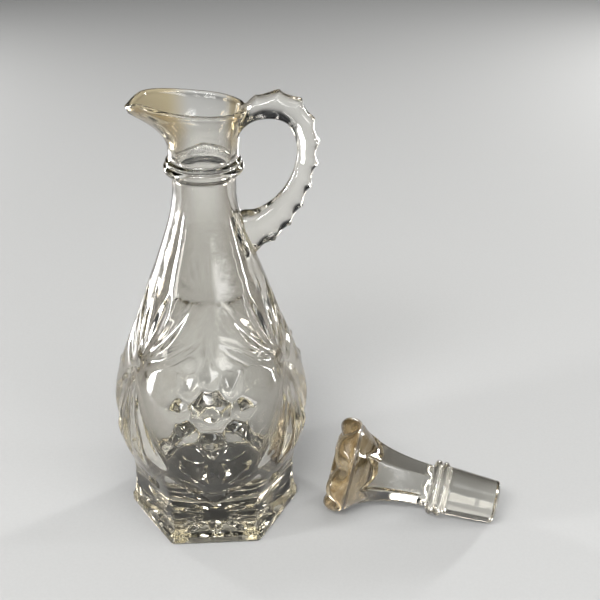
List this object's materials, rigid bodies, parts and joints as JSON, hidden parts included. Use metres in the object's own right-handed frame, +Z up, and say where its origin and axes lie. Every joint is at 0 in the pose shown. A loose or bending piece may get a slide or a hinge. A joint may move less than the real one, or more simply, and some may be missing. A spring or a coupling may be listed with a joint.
{
  "type": "oil cruet",
  "caption": "Clear pressed-glass oil cruet with a pouring lip, a scalloped handle and a star pattern, its stopper lying beside it.",
  "frame": {"origin": "middle of the underside of the cruet's foot, on the surface that it stands on", "axes": "+Z up, +X towards the handle, -X towards the pouring lip, -Y the front with a star on it"},
  "size_m": [0.1464, 0.0724, 0.1665],
  "materials": {
    "clear_glass": "gloss"
  },
  "bodies": {
    "root": {"cruet": "clear_glass", "stopper": "clear_glass"}
  },
  "joints": []
}
